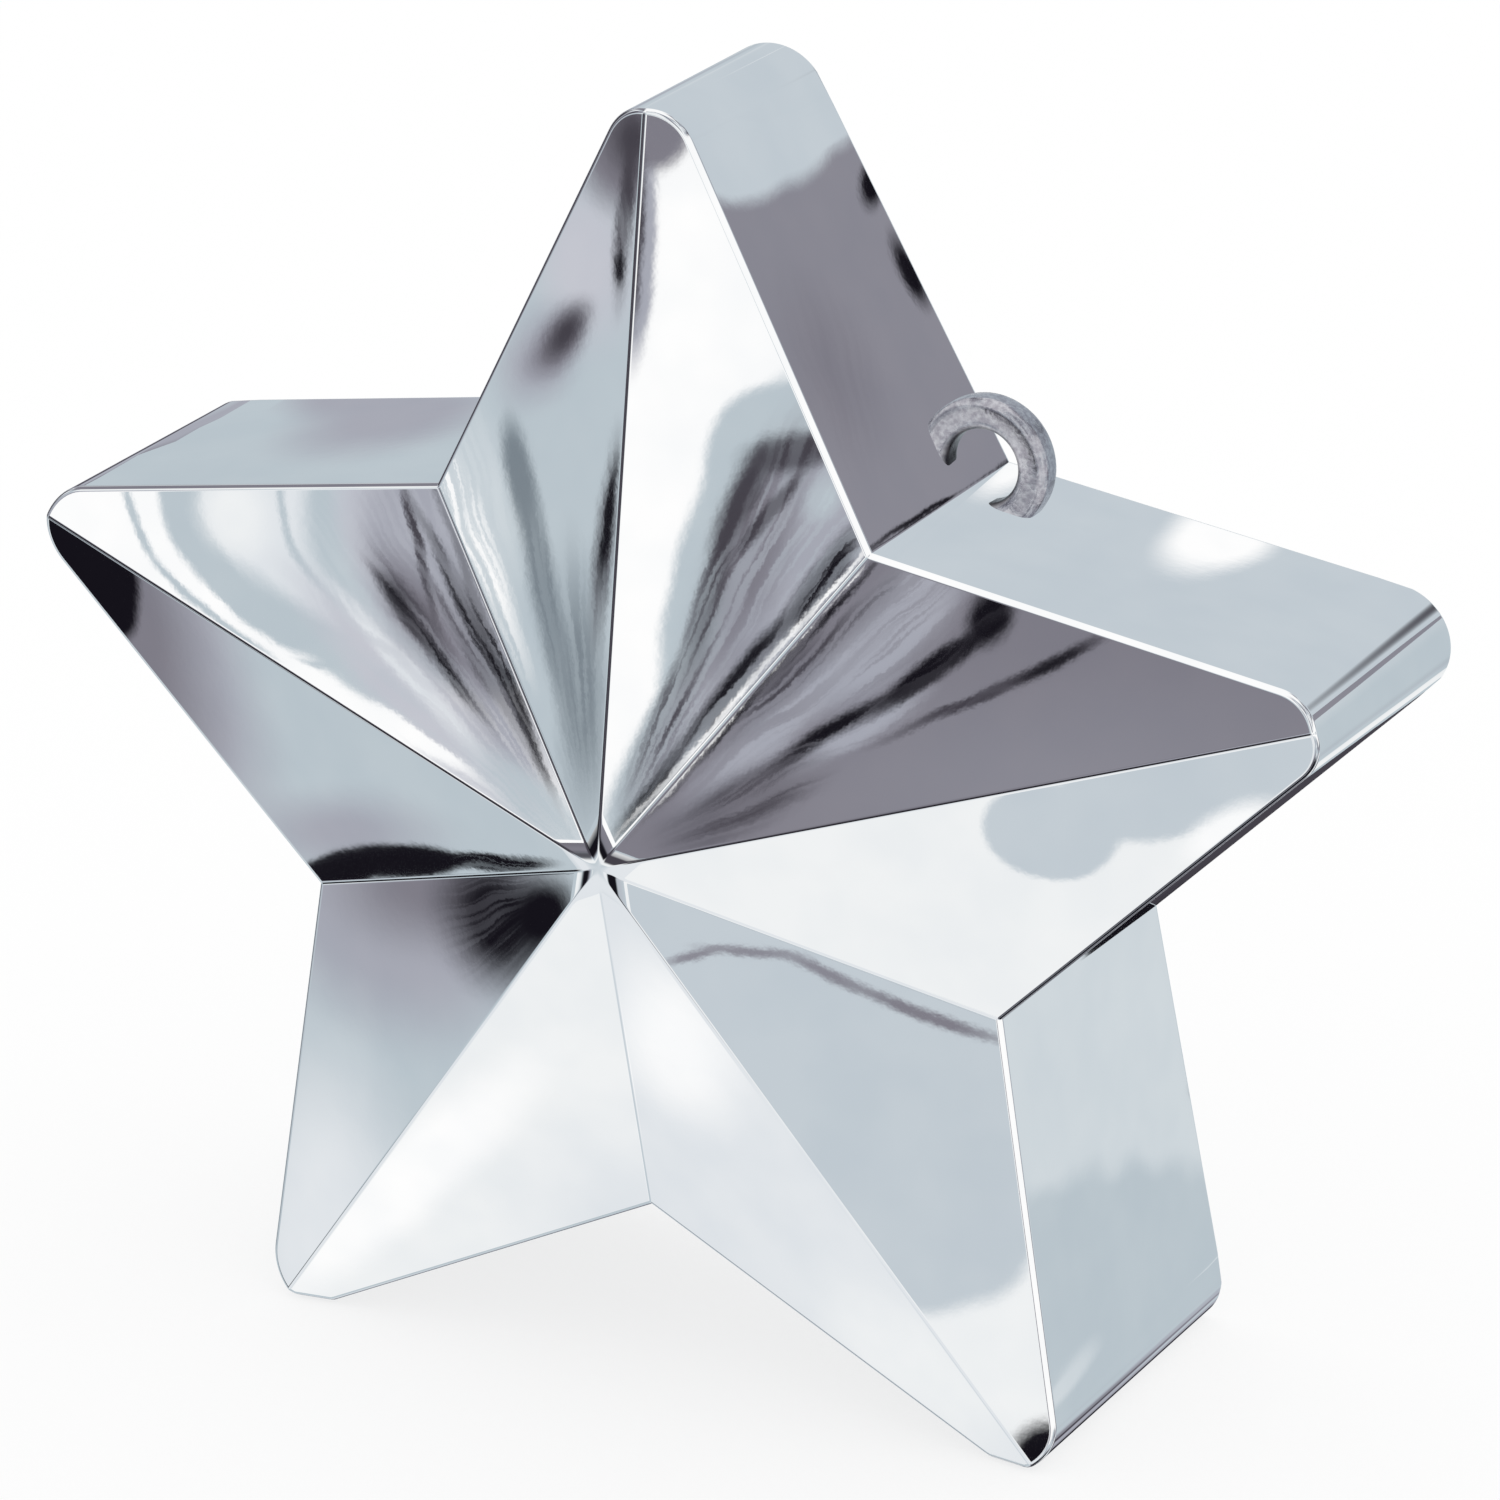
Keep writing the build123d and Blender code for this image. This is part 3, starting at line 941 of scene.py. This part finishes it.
# direction of each arm, in degrees
armTurns = {"top": 90, "left": 162, "leftFoot": 234, "rightFoot": 306, "right": 18}
studio = {
    "wobble": 0.88,          # band in which the edges of the cards wander, in millimetres
    "wobbleSize": 8.0,
    "streakTurn": 1.6,       # degrees from streak to streak
    "streakLength": 30.0,    # millimetres along a streak
    "streakBend": 6.0,       # degrees that they wander
    "streakSpan": {"From Min": 0.44, "From Max": 0.56},    # part of the noise from gap to streak
    "streakDetail": 3.0,
    "streakRough": 0.6,
    "margin": 1.15,          # reach of a flat's cards over that of its mirrored patch
    "blotSize": 20.0,        # degrees from blot to blot in the room
    "blotSoft": 0.02,        # half of the edge of a blot, as a share of the noise
    "blotBend": 0.5,
}


def facetPlane(angle):
    # point and outward direction of the front facet on this side of an arm
    outward = Vector((sin(facetTilt) * cos(angle), -cos(facetTilt), sin(facetTilt) * sin(angle)))
    return starPoint(angle, edgeDistance, frontY), outward


def makeStudio():
    world = bpy.data.worlds.new("studio")
    bpy.context.scene.world = world
    world.use_nodes = True
    tree = world.node_tree
    tree.nodes.clear()
    direction = addNode(tree, "ShaderNodeTexCoord").outputs["Generated"]

    def paintRoom():
        paint = linear(tones["offWhite"])
        noise = addNode(tree, "ShaderNodeTexNoise",
                        {"Vector": direction, "Scale": 1 / radians(studio["blotSize"]), "Detail": 1.0,
                         "Distortion": studio["blotBend"]})
        for tone, share in roomBlots:
            mask = addNode(tree, "ShaderNodeMapRange", interpolation_type="SMOOTHSTEP",
                           inputs={"Value": noise, "From Min": share + studio["blotSoft"],
                                   "From Max": share - studio["blotSoft"]})
            paint = addNode(tree, "ShaderNodeMix", data_type="RGBA",
                            inputs={"Factor": mask, "A": paint, "B": linear(tones[tone])})
        for tone, azimuth, elevation, size, soft in room:
            turn, rise = radians(azimuth), radians(elevation)
            middle = (sin(turn) * cos(rise), -cos(turn) * cos(rise), sin(rise))
            near = addNode(tree, "ShaderNodeVectorMath", [direction, middle], operation="DOT_PRODUCT")
            mask = addNode(tree, "ShaderNodeMapRange", interpolation_type="SMOOTHSTEP",
                           inputs={"Value": near, "From Min": cos(radians(size + soft)),
                                   "From Max": cos(radians(size - soft))})
            paint = addNode(tree, "ShaderNodeMix", data_type="RGBA",
                            inputs={"Factor": mask, "A": paint, "B": linear(tones[tone])})
        return addNode(tree, "ShaderNodeBackground", [paint])

    def paintFlat(below, plane, corners, across, up, base, cards):
        # the patch of the room that this flat mirrors to the camera
        point, outward = plane
        mirrored = cameraPlace - 2 * outward.dot(cameraPlace - point) * outward
        rays = [(corner - mirrored).normalized() for corner in corners]
        middle = sum(rays, Vector()).normalized()
        size = max(middle.angle(ray) for ray in rays) * studio["margin"]
        near = addNode(tree, "ShaderNodeVectorMath", [direction, middle], operation="DOT_PRODUCT")
        inside = addNode(tree, "ShaderNodeMath", [near, cos(size)], operation="GREATER_THAN")
        # where the line of sight meets the flat, in its own millimetres
        facing = addNode(tree, "ShaderNodeVectorMath", [direction, outward], operation="DOT_PRODUCT")
        held = addNode(tree, "ShaderNodeMath", [facing, tiny], operation="MAXIMUM")
        away = outward.dot(point - mirrored)
        reach = addNode(tree, "ShaderNodeMath", [away, held], operation="DIVIDE")
        sight = addNode(tree, "ShaderNodeVectorMath", {0: direction, "Scale": reach}, operation="SCALE")
        origin = mirrored - starPoint(0, 0, frontY)
        spot = addNode(tree, "ShaderNodeVectorMath", [sight, origin], operation="ADD")
        sideways = addNode(tree, "ShaderNodeVectorMath", [spot, across], operation="DOT_PRODUCT")
        upwards = addNode(tree, "ShaderNodeVectorMath", [spot, up], operation="DOT_PRODUCT")
        plain = addNode(tree, "ShaderNodeCombineXYZ", [sideways, upwards])
        # the edges of the cards wander
        noise = addNode(tree, "ShaderNodeTexNoise", noise_dimensions="2D",
                        inputs={"Vector": plain, "Scale": 1 / studio["wobbleSize"],
                                "Detail": 1.0}).outputs
        drift = addNode(tree, "ShaderNodeVectorMath", [noise["Color"], (0.5, 0.5, 0.5)],
                        operation="SUBTRACT")
        wander = addNode(tree, "ShaderNodeVectorMath", {0: drift, "Scale": studio["wobble"]},
                         operation="SCALE")
        flat = addNode(tree, "ShaderNodeVectorMath", [plain, wander], operation="ADD")
        # streaks run out from the middle of the star
        parts = addNode(tree, "ShaderNodeSeparateXYZ", [flat]).outputs
        angle = addNode(tree, "ShaderNodeMath", [parts[1], parts[0]], operation="ARCTAN2")
        bent = addNode(tree, "ShaderNodeMath", [noise[0], radians(studio["streakBend"]), angle],
                       operation="MULTIPLY_ADD")
        turned = addNode(tree, "ShaderNodeMath", [bent, radians(studio["streakTurn"])],
                         operation="DIVIDE")
        radius = addNode(tree, "ShaderNodeVectorMath", [flat], operation="LENGTH")
        along = addNode(tree, "ShaderNodeMath", [radius, studio["streakLength"]], operation="DIVIDE")
        fan = addNode(tree, "ShaderNodeCombineXYZ", [turned, along])
        fibres = addNode(tree, "ShaderNodeTexNoise", noise_dimensions="2D",
                         inputs={"Vector": fan, "Scale": 1.0, "Detail": studio["streakDetail"],
                                 "Roughness": studio["streakRough"]})
        streak = addNode(tree, "ShaderNodeMapRange", interpolation_type="SMOOTHSTEP",
                         inputs={"Value": fibres, **studio["streakSpan"]})
        paint = linear(tones[base])
        for tone, x, z, halfX, halfZ, turn, soft, lost in cards:
            local = addNode(tree, "ShaderNodeMapping", vector_type="TEXTURE",
                            inputs={"Vector": flat, "Location": (x, z, 0), "Scale": (halfX, halfZ, 1),
                                    "Rotation": (0, 0, radians(turn))})
            fromMiddle = addNode(tree, "ShaderNodeVectorMath", [local], operation="LENGTH")
            mask = addNode(tree, "ShaderNodeMapRange", interpolation_type="SMOOTHSTEP",
                           inputs={"Value": fromMiddle, "From Min": 1 + soft, "From Max": 1 - soft})
            if lost:
                kept = addNode(tree, "ShaderNodeMath", [streak, lost, 1 - lost],
                               operation="MULTIPLY_ADD")
                mask = addNode(tree, "ShaderNodeMath", [mask, kept], operation="MULTIPLY")
            paint = addNode(tree, "ShaderNodeMix", data_type="RGBA",
                            inputs={"Factor": mask, "A": paint, "B": linear(tones[tone])})
        glow = addNode(tree, "ShaderNodeBackground", [paint])
        return addNode(tree, "ShaderNodeMixShader", [inside, below, glow])

    painted = paintRoom()
    swing = pi / 2 - halfPoint
    for (arm, side), (base, cards) in facetCards.items():
        tip = radians(armTurns[arm])
        corners = [starPoint(0, 0, frontY - star["crown"]),
                   starPoint(tip, star["pointRadius"], frontY),
                   starPoint(tip + side * halfPitch, star["cornerRadius"], frontY)]
        painted = paintFlat(painted, facetPlane(tip + side * swing), corners,
                            Vector((1, 0, 0)), Vector((0, 0, 1)), base, cards)
    for (arm, side), (base, cards) in wallCards.items():
        tip = radians(armTurns[arm])
        angle = tip + side * swing
        ends = ((0, star["pointRadius"]), (side * halfPitch, star["cornerRadius"]))
        corners = [starPoint(tip + turn, radius, y) for y in (frontY, -frontY) for turn, radius in ends]
        painted = paintFlat(painted, wallPlane(angle), corners,
                            Vector((-sin(angle), 0, cos(angle))), Vector((0, 1, 0)), base, cards)
    # only reflections see the studio; everything else sees white
    mirror = addNode(tree, "ShaderNodeLightPath").outputs["Is Glossy Ray"]
    white = addNode(tree, "ShaderNodeBackground", [(1, 1, 1, 1)])
    seen = addNode(tree, "ShaderNodeMixShader", [mirror, white, painted])
    addNode(tree, "ShaderNodeOutputWorld", {"Surface": seen})


makeStudio()
print("studio painted")


# white paper on the floor, which keeps a faint shadow
floorSheet = {
    "half": 3000.0,
    "below": 0.3,            # under the feet
    "glow": 0.75,            # share of light of its own, which keeps it white
}


def makeFloor():
    half, height = floorSheet["half"] * mm, -floorSheet["below"] * mm
    mesh = bpy.data.meshes.new("floor")
    corners = ((-half, -half), (half, -half), (half, half), (-half, half))
    mesh.from_pydata([(x, y, height) for x, y in corners], [], [(0, 1, 2, 3)])
    floor = bpy.data.objects.new("floor", mesh)
    bpy.context.scene.collection.objects.link(floor)
    floor.visible_glossy = False
    material = bpy.data.materials.new("whitePaper")
    material.use_nodes = True
    tree = material.node_tree
    tree.nodes.clear()
    paper = addNode(tree, "ShaderNodeBsdfDiffuse", [(1, 1, 1, 1)])
    glow = addNode(tree, "ShaderNodeEmission", {"Strength": 1.0})
    lit = addNode(tree, "ShaderNodeMixShader", [floorSheet["glow"], paper, glow])
    addNode(tree, "ShaderNodeOutputMaterial", {"Surface": lit})
    mesh.materials.append(material)


makeFloor()
print("floor laid")
bpy.context.scene.view_settings.view_transform = "Standard"
